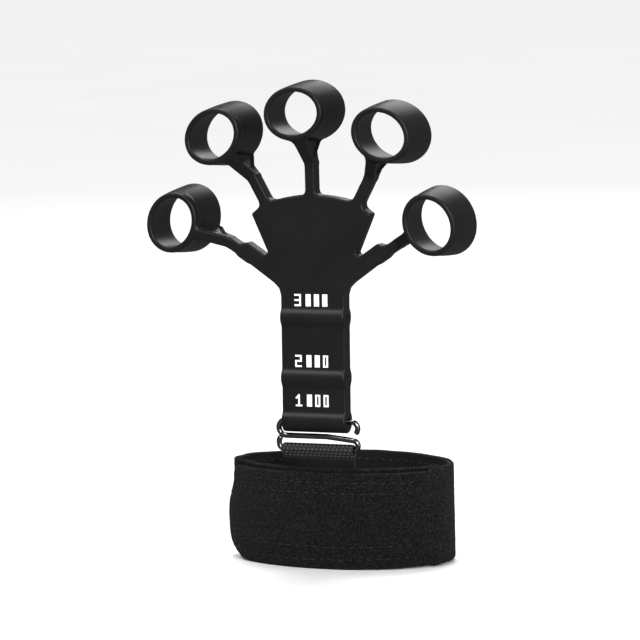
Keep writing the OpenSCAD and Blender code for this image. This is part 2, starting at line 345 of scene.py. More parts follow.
class Nodes:
    """A new material and short ways to add its nodes."""

    def __init__(self, name):
        self.material = bpy.data.materials.new(name)
        self.material.use_nodes = True
        self.tree = self.material.node_tree
        self.tree.nodes.clear()
        self.shader = self.add("ShaderNodeBsdfPrincipled")
        output = self.add("ShaderNodeOutputMaterial")
        self.link(self.shader.outputs[0], output.inputs["Surface"])

    def add(self, kind, **settings):
        node = self.tree.nodes.new(kind)
        for key, value in settings.items():
            setattr(node, key, value)
        return node

    def link(self, source, target):
        self.tree.links.new(source, target)

    def fill(self, node, values):
        for key, value in values.items():
            if isinstance(value, bpy.types.NodeSocket):
                self.link(value, node.inputs[key])
            else:
                node.inputs[key].default_value = value
        return node

    def place(self):
        return self.add("ShaderNodeTexCoord").outputs["Object"]

    def cloth(self):
        """Place on the flat cloth, in millimetres."""
        return self.add("ShaderNodeAttribute", attribute_name="cloth").outputs["Vector"]

    def scaled(self, vector, scale):
        node = self.add("ShaderNodeMapping")
        self.fill(node, {"Vector": vector, "Scale": scale})
        return node.outputs[0]

    def noise(self, vector, scale, detail=2.0, rough=0.5):
        node = self.add("ShaderNodeTexNoise")
        self.fill(node, {"Vector": vector, "Scale": scale, "Detail": detail, "Roughness": rough})
        return node.outputs["Fac"]

    def cells(self, vector, scale):
        node = self.add("ShaderNodeTexVoronoi")
        self.fill(node, {"Vector": vector, "Scale": scale})
        return node.outputs["Distance"]

    def wave(self, vector, scale, direction="X", distortion=0.0, detail_scale=1.0):
        node = self.add("ShaderNodeTexWave", bands_direction=direction)
        self.fill(node, {"Vector": vector, "Scale": scale, "Distortion": distortion,
                         "Detail Scale": detail_scale})
        return node.outputs["Fac"]

    def ramp(self, value, stops):
        """A colour ramp from (position, colour) stops."""
        node = self.add("ShaderNodeValToRGB")
        ramp = node.color_ramp
        while len(ramp.elements) < len(stops):
            ramp.elements.new(0.5)
        for element, (position, colour) in zip(ramp.elements, stops):
            element.position = position
            element.color = (*colour, 1)
        self.link(value, node.inputs[0])
        return node.outputs[0]

    def ranged(self, value, low, high, start=0.0, end=1.0):
        node = self.add("ShaderNodeMapRange")
        self.fill(node, {"Value": value, "From Min": start, "From Max": end,
                         "To Min": low, "To Max": high})
        return node.outputs[0]

    def combined(self, a, b, operation="MULTIPLY"):
        node = self.add("ShaderNodeMath", operation=operation)
        for socket, value in zip(node.inputs, (a, b)):
            if isinstance(value, bpy.types.NodeSocket):
                self.link(value, socket)
            else:
                socket.default_value = value
        return node.outputs[0]

    def bumps(self, heights):
        """Bumps on one another from (height, strength, distance in metres)."""
        normal = None
        for height, strength, distance in heights:
            node = self.add("ShaderNodeBump")
            self.fill(node, {"Height": height, "Strength": strength, "Distance": distance})
            if normal is not None:
                self.link(normal, node.inputs["Normal"])
            normal = node.outputs[0]
        self.link(normal, self.shader.inputs["Normal"])

    def finish(self, **values):
        self.fill(self.shader, {key.replace("_", " "): value for key, value in values.items()})
        return self.material


def grey(value, tint=(1, 1, 1)):
    return tuple(value * t for t in tint)


def silicone_material():
    n = Nodes("silicone")
    place = n.place()
    cloudy = n.noise(place, 60, 3)
    fine = n.noise(place, 3500, 2)
    dust = n.cells(place, 900)
    colour = n.ramp(cloudy, [(0.3, grey(0.0052, (1, 1, 1.03))), (0.75, grey(0.0078, (1, 1, 1.03)))])
    rough = n.combined(n.ranged(cloudy, 0.38, 0.46), n.ranged(fine, -0.03, 0.04), "ADD")
    n.bumps([(fine, 0.12, 0.00004), (dust, 0.03, 0.00005)])
    return n.finish(Base_Color=colour, Roughness=rough, IOR=1.41, Specular_IOR_Level=0.4)


def print_material():
    n = Nodes("print")
    place = n.place()
    mottle = n.noise(place, 2600, 3)
    wide = n.noise(place, 260, 2)
    colour = n.ramp(mottle, [(0.25, grey(0.62)), (0.55, grey(0.86))])
    rough = n.ranged(wide, 0.4, 0.6)
    n.bumps([(mottle, 0.2, 0.00004)])
    return n.finish(Base_Color=colour, Roughness=rough, IOR=1.45)


def steel_material():
    n = Nodes("steel_wire")
    place = n.place()
    smoky = n.noise(place, 140, 3)
    drawn = n.noise(n.scaled(place, (1, 6, 6)), 1500, 2)
    colour = n.ramp(smoky, [(0.3, (0.15, 0.15, 0.154)), (0.7, (0.24, 0.24, 0.246))])
    rough = n.combined(n.ranged(smoky, 0.13, 0.21), n.ranged(drawn, -0.03, 0.04), "ADD")
    n.bumps([(drawn, 0.05, 0.00003)])
    return n.finish(Base_Color=colour, Metallic=1.0, Roughness=rough)


def webbing_material():
    """Woven nylon: its colour is painted lighter on the yarns' crests, a painted highlight, and
    darker in the gaps between them, painted shade.
    """
    n = Nodes("webbing")
    cloth = n.cloth()
    painted_weave_shading = n.add("ShaderNodeAttribute", attribute_name="painted_weave_shading").outputs["Fac"]
    fibres = n.wave(cloth, 3.4, "DIAGONAL", 1.5, 4)
    mottle = n.noise(cloth, 1.1, 3)
    # The weave's height paints the colour: painted highlight on the crests, painted shade in the
    # gaps.
    shade = n.combined(painted_weave_shading, n.ranged(mottle, 0.75, 1.2))
    colour = n.ramp(shade, [(0.12, grey(0.003)), (0.55, grey(0.014)),
                            (1.0, grey(0.062, (1, 1, 1.02)))])
    rough = n.ranged(fibres, 0.4, 0.6)
    n.bumps([(fibres, 0.3, 0.00006)])
    return n.finish(Base_Color=colour, Roughness=rough, IOR=1.5, Specular_IOR_Level=0.3)


def pile_material():
    """Knitted loop pile: small loops in wavering columns, with a slight tint."""
    n = Nodes("loop_pile")
    cloth = n.cloth()
    waver = n.add("ShaderNodeTexNoise")
    n.fill(waver, {"Vector": cloth, "Scale": 0.6, "Detail": 2.0})
    shifted = n.add("ShaderNodeVectorMath", operation="MULTIPLY_ADD")
    n.link(waver.outputs["Color"], shifted.inputs[0])
    shifted.inputs[1].default_value = (0.9, 0.9, 0)
    n.link(cloth, shifted.inputs[2])
    loops = n.cells(n.scaled(shifted.outputs[0], (1.3, 0.8, 1)), 2.3)
    fluff = n.noise(cloth, 5.5, 4, 0.65)
    patchy = n.noise(cloth, 0.16, 3)
    height = n.combined(n.ranged(loops, 1, 0, 0.05, 0.7), n.ranged(fluff, 0.0, 0.35), "ADD")
    shade = n.combined(height, n.ranged(patchy, 0.85, 1.12))
    colour = n.ramp(shade, [
        (0.35, (0.0030, 0.0030, 0.0031)), (0.75, (0.0112, 0.0109, 0.0114)),
        (1.05, (0.028, 0.0272, 0.028))])
    n.bumps([(height, 0.9, 0.00035), (fluff, 0.4, 0.0001)])
    return n.finish(Base_Color=colour, Roughness=0.95, IOR=1.35, Specular_IOR_Level=0.2,
                    Sheen_Weight=0.03, Sheen_Roughness=0.5)


def foam_material():
    n = Nodes("foam")
    cloth = n.cloth()
    pores = n.cells(cloth, 3.2)
    mottle = n.noise(cloth, 0.8, 3)
    colour = n.ramp(pores, [(0.1, grey(0.006)), (0.6, grey(0.024))])
    rough = n.ranged(mottle, 0.8, 0.95)
    n.bumps([(pores, 0.7, 0.00015), (mottle, 0.2, 0.0002)])
    return n.finish(Base_Color=colour, Roughness=rough, IOR=1.4)


def lining_material():
    n = Nodes("lining")
    cloth = n.cloth()
    wales = n.wave(cloth, 0.85, "X", 0.5, 2)
    courses = n.wave(cloth, 0.7, "Y", 0.4, 2)
    mottle = n.noise(cloth, 0.35, 3)
    knit = n.combined(wales, courses)
    shade = n.combined(n.ranged(knit, 0.5, 1.0), n.ranged(mottle, 0.7, 1.2))
    colour = n.ramp(shade, [(0.3, grey(0.006)), (0.9, grey(0.016, (1, 1, 1.03)))])
    n.bumps([(knit, 0.4, 0.00012)])
    return n.finish(Base_Color=colour, Roughness=0.8, IOR=1.4, Specular_IOR_Level=0.25,
                    Sheen_Weight=0.02, Sheen_Roughness=0.5)


def thread_material():
    n = Nodes("thread")
    place = n.place()
    twist = n.wave(place, 900, "DIAGONAL", 0.8, 2)
    mottle = n.noise(place, 300, 2)
    colour = n.ramp(mottle, [(0.3, grey(0.011)), (0.7, grey(0.021))])
    n.bumps([(twist, 0.5, 0.00006)])
    return n.finish(Base_Color=colour, Roughness=n.ranged(twist, 0.4, 0.6), IOR=1.5)


def hook_tape_material():
    n = Nodes("hook_tape")
    place = n.place()
    ribs = n.wave(place, 400, "Z", 0.3, 2)
    mottle = n.noise(place, 500, 2)
    colour = n.ramp(mottle, [(0.3, grey(0.010)), (0.7, grey(0.020))])
    n.bumps([(ribs, 0.3, 0.00008)])
    return n.finish(Base_Color=colour, Roughness=n.ranged(mottle, 0.4, 0.55), IOR=1.5)


SILICONE = silicone_material()
PRINT = print_material()
STEEL = steel_material()
WEBBING = webbing_material()
PILE = pile_material()
FOAM = foam_material()
LINING = lining_material()
THREAD = thread_material()
HOOK_TAPE = hook_tape_material()


# ---------- Silicone hand ----------

# Right half of the hand's outline: x from the centre line, z from the bottom tunnel
STEM_TOP = 41.5
OUTLINE = [
    [STEM_W / 2, -8], [STEM_W / 2, STEM_TOP], [11.7, 43.9], [13.4, 45.6], [25.6, 54.4],
    [24.6, 57.3], [22.8, 58.6], [16.6, 54.3], [15.1, 55.3], [20.6, 68.0], [17.2, 70.6],
]
CROWN_END, CROWN_Z = (14.6, 71.9), 74.1
CROWN_RISE = CROWN_Z - CROWN_END[1]
CROWN_R = (CROWN_END[0] ** 2 + CROWN_RISE**2) / (2 * CROWN_RISE)


def crown_points():
    half = math.asin(CROWN_END[0] / CROWN_R)
    turns = np.linspace(half, -half, 25)
    return np.stack([CROWN_R * np.sin(turns), CROWN_Z - CROWN_R * (1 - np.cos(turns))], 1)


class Strap:
    """Where a finger's strap runs, from the frame's joints and nodes."""

    def __init__(self, finger):
        curl = JOINTS[f"{finger}_curl"]
        self.direction = unit(JOINTS[f"{finger}_stretch"]["axis"])
        self.across = np.array([-self.direction[2], 0, self.direction[0]])
        self.hinge = np.array(curl["pos_m"]) / MM
        node = frame["nodes"][f"{finger}_strap"].data
        corners = np.array([v.co for v in node.vertices]) / MM - self.hinge
        along, aside = corners @ self.direction, corners @ self.across
        self.foot = self.hinge + along.min() * self.direction
        self.end = self.hinge + along.max() * self.direction
        self.width = np.ptp(aside)
        self.length = np.ptp(along)
        self.cut = self.hinge - BEND_REACH * self.direction
        self.angle = math.atan2(self.direction[2], self.direction[0])


# A strap bends over this length to each side of its hinge
BEND_REACH = 2.8
STRAPS = {finger: Strap(finger) for finger in FINGERS}


def bar_distance(x, z, place, direction, start, end, width):
    """Distance to a flat bar along a direction from a place."""
    along = (x - place[0]) * direction[0] + (z - place[1]) * direction[1]
    aside = -(x - place[0]) * direction[1] + (z - place[1]) * direction[0]
    return np.maximum(np.abs(aside) - width / 2, np.maximum(start - along, along - end))


FRONT_X = grid_lines(-34, 34, GRID)
FRONT_Z = grid_lines(-BARREL_R - 1.2, CROWN_Z + 16, GRID)


def front_field(strap_ends):
    """Outline of the palm, stem and straps seen from the front, sampled on a grid."""
    right = np.array(OUTLINE)
    left = right[::-1] * [-1, 1]
    outline = np.concatenate([right, crown_points(), left])
    x, z = np.meshgrid(FRONT_X, FRONT_Z, indexing="ij")
    front = polygon_distance(x, z, outline)
    for strap, end in zip(STRAPS.values(), strap_ends):
        foot = (strap.foot - HAND)[[0, 2]]
        bar = bar_distance(x, z, foot, strap.direction[[0, 2]], -4, end, strap.width)
        front = blended_union(front, bar, 1.9)
    return softened(front, GRID, 0.3) - GROWN


def hand_skin():
    ys = grid_lines(-BARREL_R - 1.2, BARREL_R + 1.2, GRID)
    front = front_field([1.5] * len(FINGERS))
    y, z = np.meshgrid(ys, FRONT_Z, indexing="ij")
    side = np.maximum(np.abs(y) - PLATE_T / 2, -z)
    for rise in RISES:
        side = blended_union(side, np.hypot(y, z - rise) - BARREL_R - 0.05, 0.55)
    field = rounded_both(front[:, None, :], side[None, :, :], RIM_R)
    for rise in RISES:
        field = blended_cut(field, (np.hypot(y, z - rise) - BORE_R)[None, :, :], 0.3)
    points, faces = skin_of(field, (FRONT_X[0], ys[0], FRONT_Z[0]), GRID)
    return points + HAND, faces.tolist()


# The stem hangs on the wire a little aslant, by this much of its length
STEM_LEAN = 0.014


def leaned(points):
    """The same points, with the stem's part leaning to the side below the palm."""
    points = np.array(points, float)
    below = np.maximum(HAND[2] + STEM_TOP + 2 - points[:, 2], 0)
    points[:, 0] -= STEM_LEAN * below
    return points


def hand():
    points, faces = hand_skin()
    points = leaned(points)
    for strap in STRAPS.values():
        points, faces = cut_square(points, faces, strap.foot, strap.direction, 4.2)
    piece = add_piece("silicone_hand", points, faces, "silicone", SILICONE)
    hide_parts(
        "palm", "stem_upper", "stem_flex", "stem_middle", "stem_lower",
        "tunnel_top", "tunnel_middle", "tunnel_bottom",
    )
    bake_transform(piece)


# Finger loops, each in its own frame at the fin's foot: x along the lean, z across
LOOP_LEN, LOOP_LONG, LOOP_SHORT, LOOP_WALL = 18.0, 19.6, 16.8, 1.5
LOOP_TAPER, LOOP_FORWARD, FIN_LEN = 0.865, 1.3, 8.4
LOOP_REACH = dict(zip(FINGERS, [17.8, 17.3, 16.7, 15.8, 15.1]))
LOOP_LEAN = dict(zip(FINGERS, [157, 127, 98, 64, 27]))
LOOP_FRONT = -LOOP_LEN / 2 - LOOP_FORWARD
LOOP_BACK = LOOP_LEN / 2 - LOOP_FORWARD
FIN_FRONT = LOOP_FRONT + 0.5
FIN_BACK = LOOP_BACK - 0.3
# The fin's back edge meets the strap this far from its foot, and the loop this far
FIN_BACK_FOOT, FIN_BACK_TOP = FIN_LEN - 5.2, FIN_LEN - 1.8
FIN_HOLLOW = 0.75
# How softly the strap's front spreads into the loop, and the other parts meet
SPREAD, FIN_BLEND, STRAP_BLEND = 2.6, 0.9, 0.45
LOOP_RIM_R = 0.3


def oval_distance(x, z, half_x, half_z):
    scaled = np.hypot(x / half_x, z / half_z)
    steep = np.hypot(x / half_x**2, z / half_z**2)
    return scaled * (scaled - 1) / np.maximum(steep, 1e-6)


def shell_fields(x, y, z, reach):
    """The loop's outer surface, its hole, and its two ends."""
    share = np.clip((y - LOOP_FRONT) / LOOP_LEN, -0.1, 1.1)
    straight = 1 + (1 / LOOP_TAPER - 1) * share
    bulged = straight + 0.02 * share + 0.07 * share * (1 - share)
    outer = oval_distance(x - reach, z, bulged * LOOP_SHORT / 2, bulged * LOOP_LONG / 2)
    flare = 0.3 * np.clip(0.5 - (y - LOOP_FRONT), 0, 0.5)
    hole = oval_distance(x - reach, z, straight * (LOOP_SHORT / 2 - LOOP_WALL) + flare,
                         straight * (LOOP_LONG / 2 - LOOP_WALL) + flare)
    return outer - GROWN, hole, np.maximum(LOOP_FRONT - y, y - LOOP_BACK)


def fin_half_width(x, y, width):
    """Half the fin's width: full at its front and back edges, less between them."""
    run = np.array([FIN_LEN, FIN_FRONT + PLATE_T / 2])
    behind = ((y + PLATE_T / 2) * run[0] - x * run[1]) / np.linalg.norm(run)
    back_run = np.array([FIN_BACK_TOP - FIN_BACK_FOOT, FIN_BACK - PLATE_T / 2])
    back_x = x - FIN_BACK_FOOT
    ahead = (back_x * back_run[1] - (y - PLATE_T / 2) * back_run[0])
    ahead = ahead / np.linalg.norm(back_run)
    hollow = smooth_step(behind, 1.5, 2.7) * smooth_step(ahead, 0.5, 1.3)
    return width / 2 + GROWN - FIN_HOLLOW * hollow * smooth_step(x, 0.4, 2.2)


def loop_field(x, y, z, reach, plate, width):
    """The loop, its fin and the strap that carries it."""
    outer, hole, ends = shell_fields(x, y, z, reach)
    shell = rounded_both(outer, ends, LOOP_RIM_R)
    flat_x, flat_y = x[:, :, :1], y[:, :, :1]
    profile = np.array([
        [-0.8, -PLATE_T / 2], [0, -PLATE_T / 2], [FIN_LEN, FIN_FRONT], [reach - 5, FIN_FRONT],
        [reach - 5, FIN_BACK], [FIN_BACK_TOP, FIN_BACK],
        [FIN_BACK_FOOT, PLATE_T / 2], [-0.8, PLATE_T / 2]])
    flat = polygon_distance(flat_x, flat_y, profile)
    fin = rounded_both(flat, np.abs(z) - fin_half_width(x, y, width), RIM_R)
    strip = np.array([
        [0, -PLATE_T / 2], [FIN_LEN, FIN_FRONT], [reach, FIN_FRONT],
        [reach, FIN_FRONT + 2.6], [FIN_LEN, FIN_FRONT + 2.6], [1.8, -PLATE_T / 2 + 1.2]])
    spread = blended_union(outer, np.abs(z) - width / 2 - GROWN, SPREAD)
    flared = rounded_both(spread, polygon_distance(flat_x, flat_y, strip), RIM_R)
    strap = rounded_both(plate[:, None, :], np.abs(y) - PLATE_T / 2, RIM_R)
    whole = blended_union(blended_union(shell, fin, FIN_BLEND), flared, 0.5)
    whole = np.maximum(whole, x - reach - 12)
    return blended_cut(blended_union(whole, strap, STRAP_BLEND), hole, 0.25)


def plate_at(front, strap, lean, xs, zs):
    """The front outline's field at places of a loop's frame, near its strap."""
    x, z = np.meshgrid(xs, zs, indexing="ij")
    world_x = strap.end[0] - HAND[0] + x * math.cos(lean) - z * math.sin(lean)
    world_z = strap.end[2] - HAND[2] + x * math.sin(lean) + z * math.cos(lean)
    cells = np.stack([world_x - FRONT_X[0], world_z - FRONT_Z[0]], -1) / GRID
    foot = (strap.foot - HAND)[[0, 2]]
    near = bar_distance(world_x, world_z, foot, strap.direction[[0, 2]],
                        -1.5, strap.length + 0.4, strap.width + 3.4)
    return np.maximum(sampled(front, cells), near)


def finger_loop(finger, strap, front):
    """A finger's strap, from the palm to its hinge, and the loop beyond it."""
    lean = math.radians(LOOP_LEAN[finger])
    reach = LOOP_REACH[finger]
    xs = grid_lines(-strap.length - 2.5, reach + 11.5, GRID)
    ys = grid_lines(LOOP_FRONT - 0.9, LOOP_BACK + 0.9, GRID)
    zs = grid_lines(-12.9, 12.9, GRID)
    x, y, z = np.meshgrid(xs, ys, zs, indexing="ij")
    plate = plate_at(front, strap, lean, xs, zs)
    field = loop_field(x, y, z, reach, plate, strap.width)
    points, faces = skin_of(field, (xs[0], ys[0], zs[0]), GRID)
    along = np.array([math.cos(lean), 0, math.sin(lean)])
    across = np.array([-math.sin(lean), 0, math.cos(lean)])
    points = (strap.end + points[:, :1] * along + points[:, 1:2] * [0, 1, 0]
              + points[:, 2:] * across)
    faces = faces.tolist()
    ring = cut_square(points, faces, strap.cut, -strap.direction, 1e3)
    piece = add_piece(f"{finger}_ring", *ring, "silicone", SILICONE)
    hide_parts(f"{finger}_loop")
    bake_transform(piece)
    band = cut_square(points, faces, strap.cut, strap.direction, 1e3)
    band = cut_square(*band, strap.foot, -strap.direction, 1e3)
    piece = add_piece(f"{finger}_band", *band, "silicone", SILICONE)
    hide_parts(f"{finger}_strap")
    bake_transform(piece)


def smooth_step(value, start, end):
    t = np.clip((value - start) / (end - start), 0, 1)
    return t * t * (3 - 2 * t)


hand()
FULL_FRONT = front_field([strap.length + 1.2 for strap in STRAPS.values()])
for finger in FINGERS:
    finger_loop(finger, STRAPS[finger], FULL_FRONT)


def level_marks():
    """The printed marks, which lean with the stem."""
    for mark, body in (("one", "hand_foot"), ("two", "hand_foot"), ("three", "palm")):
        node = frame["nodes"][f"level_mark_{mark}"].data
        points = leaned([np.array(v.co) / MM for v in node.vertices])
        faces = [list(face.vertices) for face in node.polygons]
        piece = add_piece(f"mark_{mark}", points, faces, "print", PRINT, sharp_deg=30)
        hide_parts(f"level_mark_{mark}")
        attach(piece, body)


level_marks()


# ---------- Wire hook ----------

WIRE_R = size_of("wire_hook")[1] / 2
WIRE_LEFT, WIRE_RIGHT = low_high("wire_hook")[0][0], low_high("wire_hook")[1][0]
LOWER_BAR_Z = low_high("wire_hook")[0][2] + WIRE_R
LEFT_BEND, RIGHT_BEND, TIP_BEND, RISER_BEND = 2.6, 1.75, 2.2, 1.8


def arc(centre, radius, start, end, steps=14):
    turns = np.radians(np.linspace(start, end, steps))
    return [[centre[0] + radius * math.cos(t), centre[1] + radius * math.sin(t)] for t in turns]


def evenly(path, step):
    """The same path with points a step apart."""
    path = np.asarray(path, float)
    lengths = distances(path)
    places = np.linspace(0, lengths[-1], max(2, int(round(lengths[-1] / step)) + 1))
    return np.stack([np.interp(places, lengths, path[:, n]) for n in range(path.shape[1])], 1)


def eased(path, times):
    """The same path with its kinks eased, its ends kept."""
    for _ in range(times):
        path[1:-1] = (path[:-2] + 2 * path[1:-1] + path[2:]) / 4
    return path


def wire_path():
    """The wire's middle line, x and z, from its tip to the end of its riser."""
    left, right = WIRE_LEFT + WIRE_R, WIRE_RIGHT - WIRE_R
    arm_z, low = HAND[2], LOWER_BAR_Z
    step_z = arm_z - 2 * LEFT_BEND
    path = arc((right - TIP_BEND, arm_z - TIP_BEND), TIP_BEND, -50, 90)
    path += arc((left + LEFT_BEND, arm_z - LEFT_BEND), LEFT_BEND, 90, 270)
    path += [[WEBBING_X + 3, step_z]]
    path += arc((right - RIGHT_BEND, low + RIGHT_BEND), RIGHT_BEND, 90, -90)
    path += arc((left + RISER_BEND, low + RISER_BEND), RISER_BEND, 270, 180)
    path += [[left, step_z - 1.4], [left + 0.75, step_z - 0.35]]
    return eased(evenly(path, 0.2), 8)


def wire():
    path = wire_path()
    ahead = unit(np.gradient(path, axis=0))
    side = np.stack([-ahead[:, 1], np.zeros(len(path)), ahead[:, 0]], 1)
    middle = np.stack([path[:, 0], np.full(len(path), HAND[1]), path[:, 1]], 1)
    radius = np.full(len(path), WIRE_R)
    radius[[0, -1]], radius[[1, -2]] = WIRE_R * 0.72, WIRE_R * 0.93
    skin = tube(middle, radius, side, [0, 1, 0], np.arange(0, 360, 15))
    piece = add_piece("bent_wire", *skin, "steel_wire", STEEL)
    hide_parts("wire_hook")
    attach(piece, "hook")


wire()


# ---------- Band paths ----------

STRIP_T = 2.2
LAYER_STEP = 3.4


def hump(value, middle, width):
    return np.exp(-(((value - middle) / width) ** 2))


def strip_inset(turn):
    """How far the strip lies inside the band's outline at a turn."""
    share = np.clip((turn - RAMP_END) / (RAMP_START - RAMP_END), 0, 1)
    return LAYER_STEP * (1 - np.cos(np.pi * share)) / 2


class Path:
    """A stretch of the strip in plan: turns a step apart along it, and where they are."""

    def __init__(self, start, end, step):
        turns = np.linspace(start, end, 3000)
        lengths = distances(self.at(turns, 1.0))
        self.length = lengths[-1]
        self.along = np.linspace(0, self.length, int(self.length / step) + 1)
        self.turns = np.interp(self.along, lengths, turns)

    @staticmethod
    def at(turns, depth):
        """Plan places at a depth in the strip, (turns, 2)."""
        inset = strip_inset(turns) + depth
        return np.stack([BAND_X + (BAND_HALF_W - inset) * np.cos(np.radians(turns)),
                         BAND_Y + (BAND_HALF_D - inset) * np.sin(np.radians(turns))], -1)


def value_noise(u, v, seed):
    """Smooth noise from -1 to 1 on a lattice of unit cells."""
    table = np.random.default_rng(seed).uniform(-1, 1, (64, 64))
    iu, iv = np.floor(u).astype(int), np.floor(v).astype(int)
    fu, fv = u - iu, v - iv
    fu, fv = fu * fu * (3 - 2 * fu), fv * fv * (3 - 2 * fv)

    def row(b):
        return table[iu % 64, b % 64] * (1 - fu) + table[(iu + 1) % 64, b % 64] * fu

    return row(iv) * (1 - fv) + row(iv + 1) * fv


def sway(turns, height, flare=0.0):
    """How far the cloth stands out from its oval.

    It has soft dents and bulges. The flap's end eases in at its top, and the strip
    under it flares out past that end."""
    whole = turns % 360
    end = hump(whole, 190, 26)
    easing = end * (0.6 * hump(height, 13, 8) - 1.4 * smooth_step(height, 17, 27))
    slow = 0.16 * value_noise(turns / 23.0 + 7, height / 16.0, 5)
    corner = 24.5 + 6.5 * smooth_step(whole, 187, 205)
    lip = flare * hump(whole, 187, 13) * smooth_step(height, corner, corner + 2.6)
    return easing + lip + slow * smooth_step(height, 0, 4)


def band_top(turns):
    whole = turns % 360
    dip = 0.55 * hump(whole, 135, 35)
    return BAND_H - dip + 0.10 * value_noise(turns / 9.0, turns * 0 + 0.5, 11)


def band_bottom(turns):
    raised = 0.8 * hump((turns + 180) % 360 - 180, 4, 24)
    return raised + 0.08 * (1 + value_noise(turns / 10.0, turns * 0 + 0.5, 12))


def flap_edges(turns):
    """Lowest and highest edge of the flap at a turn, with its rounded free end."""
    left = Path.at(np.array([FLAP_END]), 0)[0][0]
    from_end = Path.at(turns, 0)[:, 0] - left
    low_r, high_r = 11.5, 7.0
    low_in, high_in = np.clip(low_r - from_end, 0, low_r), np.clip(high_r - from_end, 0, high_r)
    low = low_r - np.sqrt(low_r**2 - low_in**2)
    high = high_r - np.sqrt(high_r**2 - high_in**2)
    wobble = 0.12 * value_noise(turns / 8.0, turns * 0 + 0.5, 13)
    lift = 0.9 * smooth_step(turns, -80, FLAP_START)
    return low + lift + 0.05, FLAP_TOP - high + wobble


# ---------- Band and flap layers ----------

FACE_T, CORE_END, CURL_R = 0.5, 1.8, 0.85
FLAP_ROWS = [("top", 3.0), ("top", 6.6), ("low", 7.4), ("low", 3.2)]
LINING_ROWS = [("top", 2.9), ("low", 4.0)]
FLARE = 3.3


def row_height(row, low, high):
    edge, distance = row
    return high - distance if edge == "top" else low + distance


def layer_section(outer, inner, curl, steps):
    """A layer's closed section as (depth, share of height, height past the share).

    The layer lies between two depths. Its edges curl over the strip's edge: curl
    is their radius, above zero for a layer that curls inwards from the outside."""
    turns = np.radians(np.linspace(0, 90, 6))
    side = 1 if curl > 0 else -1
    radius = abs(curl)
    small = radius - abs(inner - outer)

    def bend(r, share, turns):
        return [[outer + side * (radius - r * math.cos(t)), share,
                 (1 - 2 * share) * (radius - r * math.sin(t))] for t in turns]

    def flat(depth, shares):
        return [[depth, share, radius * (1 - 2 * share)] for share in shares]

    skin = bend(radius, 1, turns[::-1]) + flat(outer, np.linspace(1, 0, steps)[1:-1])
    skin += bend(radius, 0, turns)
    back = bend(small, 0, turns[::-1]) + flat(inner, np.linspace(0, 1, 10)[1:-1])
    back += bend(small, 1, turns)
    return np.array(skin + back), len(skin)


def layer(path, section, skin_count, edges, rows, rough, seed, flare):
    """Rings of a layer along a path, with its cloth coordinates."""
    turns = path.turns
    low, high = edges(turns)
    depth, share, past = section.T
    low_m, high_m = low[:, None], high[:, None]
    height = low_m + share * (high_m - low_m) + past
    is_skin = (np.arange(len(section)) < skin_count)[None, :]
    outwards = 1 if section[:, 0].argmin() < skin_count else -1
    along = np.tile(path.along[:, None], (1, len(section)))
    pile = rough * value_noise(along / 0.85, height / 0.85, seed)
    pile = pile + 0.6 * rough * value_noise(along / 0.45 + 31, height / 0.45, seed + 1)
    groove = sum(0.2 * hump(height, row_height(row, low_m, high_m), 0.5) for row in rows)
    relief = np.where(is_skin, pile - groove, 0)
    inward = depth - outwards * relief - sway(turns[:, None], height, flare)
    plan = Path.at(turns[:, None], inward)
    rings = np.concatenate([plan, height[..., None]], -1)
    cloth = np.stack([along, height + 40 * (1 - is_skin), 0 * along], -1)
    return rings, cloth


def set_cloth(piece, cloth):
    data = piece.data.attributes.new("cloth", "FLOAT_VECTOR", "POINT")
    data.data.foreach_set("vector", np.asarray(cloth, np.float32).reshape(-1, 3).ravel())


def cloth_layer(name, path, section, edges, rows, rough, seed, slot, material, flare=0.0):
    rings, cloth = layer(path, *section, edges, rows, rough, seed, flare)
    points, faces = swept(rings)
    piece = add_piece(name, points, faces, slot, material, sharp_deg=75)
    set_cloth(piece, cloth)
    return piece


def core_section():
    depths = [FACE_T + 0.03, CORE_END - 0.03]
    corners = [[depths[0], 1, -0.55], [depths[0], 0, 0.55], [depths[1], 0, 0.55],
               [depths[1], 1, -0.55]]
    points = []
    for (d0, s0, p0), (d1, s1, p1) in zip(corners, corners[1:] + corners[:1]):
        count = 8 if s0 != s1 else 5
        for t in np.linspace(0, 1, count, endpoint=False):
            points.append([d0 + (d1 - d0) * t, s0 + (s1 - s0) * t, p0 + (p1 - p0) * t])
    return np.array(points), 0


FACE_SECTION = layer_section(0.0, FACE_T, CURL_R, 62)
LINING_SECTION = layer_section(STRIP_T, CORE_END, -0.5, 62)


def band_edges(turns):
    return band_bottom(turns), band_top(turns)


# A stitch's points as shares of its length, and how far its ends dip into the cloth
STITCH_SHARES = np.linspace(-0.5, 0.5, 7)
STITCH_BEND = 1.6


def stitch(middle, thread_r, side, up):
    """One stitch: a short thread that gets thinner towards its ends."""
    radius = thread_r * np.sqrt(np.clip(1 - (1.9 * STITCH_SHARES) ** 2, 0.06, 1))
    return tube(middle, radius, side, up, np.arange(0, 360, 45))


def stitches(name, path, surface, rows, edges, outwards, start, end, thread_r):
    """Rows of stitches: short bent threads whose ends go into the cloth."""
    length, pitch = 1.8, 3.1
    shares = STITCH_SHARES
    parts = []
    for number, row in enumerate(rows):
        places = np.arange(start + 0.7 * number, path.length - end, pitch)
        for place in places:
            along = place + shares * length
            turns = np.interp(along, path.along, path.turns)
            low, high = edges(turns)
            height = row_height(row, low, high)
            height = height + 0.15 * value_noise(along / 11.0, along * 0 + number, 21)
            height = height + shares * 0.25 * (1 if number % 2 else -1)
            proud = thread_r - STITCH_BEND * shares**2
            inward = surface - outwards * proud - sway(turns, height)
            plan = Path.at(turns, inward)
            middle = np.concatenate([plan, height[:, None]], -1)
            out = Path.at(turns, inward - outwards) - plan
            out = unit(np.concatenate([out, np.zeros((len(out), 1))], -1))
            parts.append(stitch(middle, thread_r, out, [0, 0, 1]))
    points, faces = joined(parts)
    return add_piece(name, points, faces, "thread", THREAD)


PARTS = ("face", "core", "lining", "stitching")
HINGE = np.array(JOINTS["flap_peel"]["pos_m"])
PEEL_END = np.append(Path.at(np.array([-40.0]), 1.0)[0] * MM, HINGE[2])


